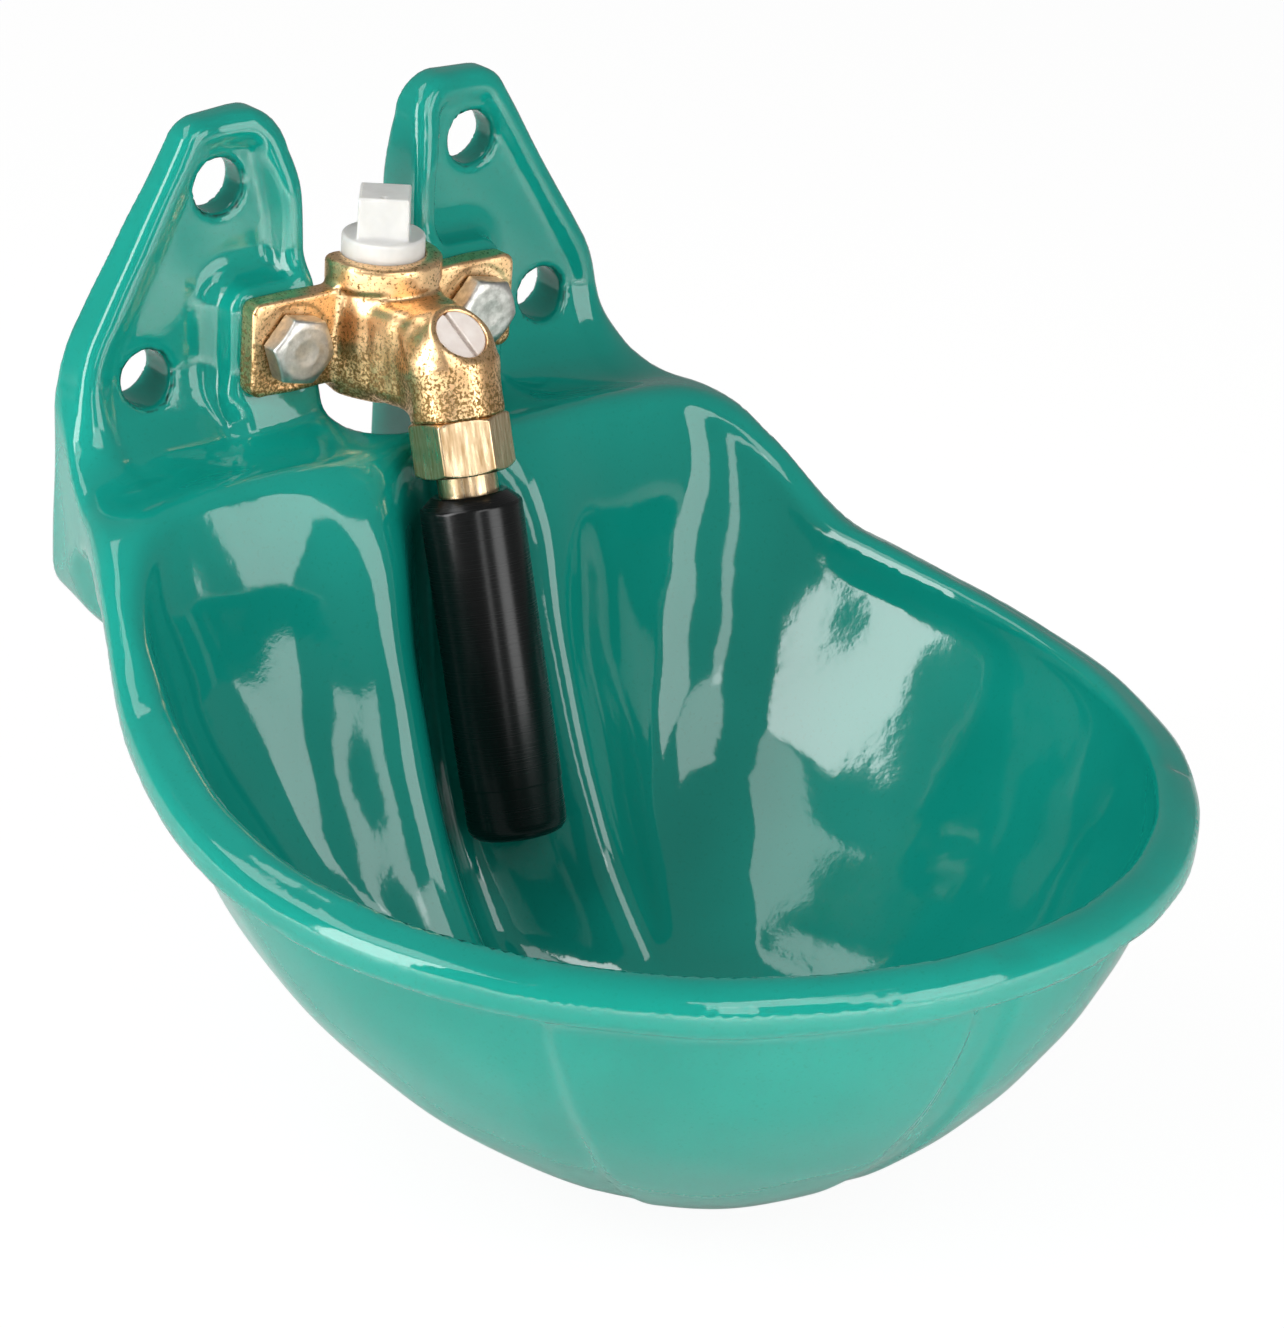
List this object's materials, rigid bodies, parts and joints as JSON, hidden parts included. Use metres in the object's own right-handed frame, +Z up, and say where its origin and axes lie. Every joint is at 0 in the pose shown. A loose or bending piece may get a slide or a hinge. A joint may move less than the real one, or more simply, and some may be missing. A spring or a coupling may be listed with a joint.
{
  "type": "livestock drinking bowl",
  "caption": "Wall-hung enamelled drinking bowl for livestock with two ears for wall bolts and a tube valve that an animal pushes to let water in.",
  "frame": {"origin": "midway between the two upper wall-bolt holes, on the wall plane", "axes": "+Y into the wall, so the bowl reaches towards -Y; +Z up; X across"},
  "size_m": [0.2516, 0.2752, 0.223],
  "materials": {
    "green_enamel": "glossy green vitreous enamel over cast iron",
    "cast_brass": "rough sand-cast brass",
    "turned_brass": "bright turned brass",
    "nylon": "milky white nylon",
    "screw_plastic": "white acetal, turned",
    "black_rubber": "matt black rubber",
    "seat_plastic": "white plastic",
    "pin_steel": "stainless steel",
    "black_plastic": "turned black plastic, satin",
    "zinc_steel": "dull grey zinc plating"
  },
  "bodies": {
    "bowl": {"bowl": "green_enamel", "valve_body": "cast_brass", "inlet_plug": "nylon", "union_nut": "turned_brass", "valve_seat": "seat_plastic", "seat_gasket": "black_rubber", "return_spring": "pin_steel", "flange_bolt_left": "zinc_steel", "flange_bolt_right": "zinc_steel", "flange_nut_left": "zinc_steel", "flange_nut_right": "zinc_steel", "flange_washer_left": "zinc_steel", "flange_washer_right": "zinc_steel"},
    "stem": {"stem_tube": "turned_brass", "nozzle_sleeve": "black_plastic"},
    "pin": {"valve_pin": "pin_steel", "pin_seal": "black_rubber"},
    "flow_screw": {"flow_screw": "screw_plastic", "flow_screw_ring": "black_rubber"}
  },
  "joints": [
    {"name": "stem_tilt", "type": "hinge", "parent": "bowl", "child": "stem", "pos_m": [0, -0.06178, -0.0603], "axis": [1, 0, 0], "range_deg": [-2.5, 2.5], "stiffness_Nm_per_rad": 0.6},
    {"name": "pin_lift", "type": "slide", "parent": "bowl", "child": "pin", "axis": [0, 0.309, 0.9511], "range_m": [0, 0.0004], "stiffness_N_per_m": 400, "springref_m": -0.002, "deforming": ["return_spring"]},
    {"name": "flow_screw_turn", "type": "hinge", "parent": "bowl", "child": "flow_screw", "pos_m": [0, -0.0585, -0.0292], "axis": [0, -0.6587, 0.7524], "range_deg": [-90, 360]}
  ]
}
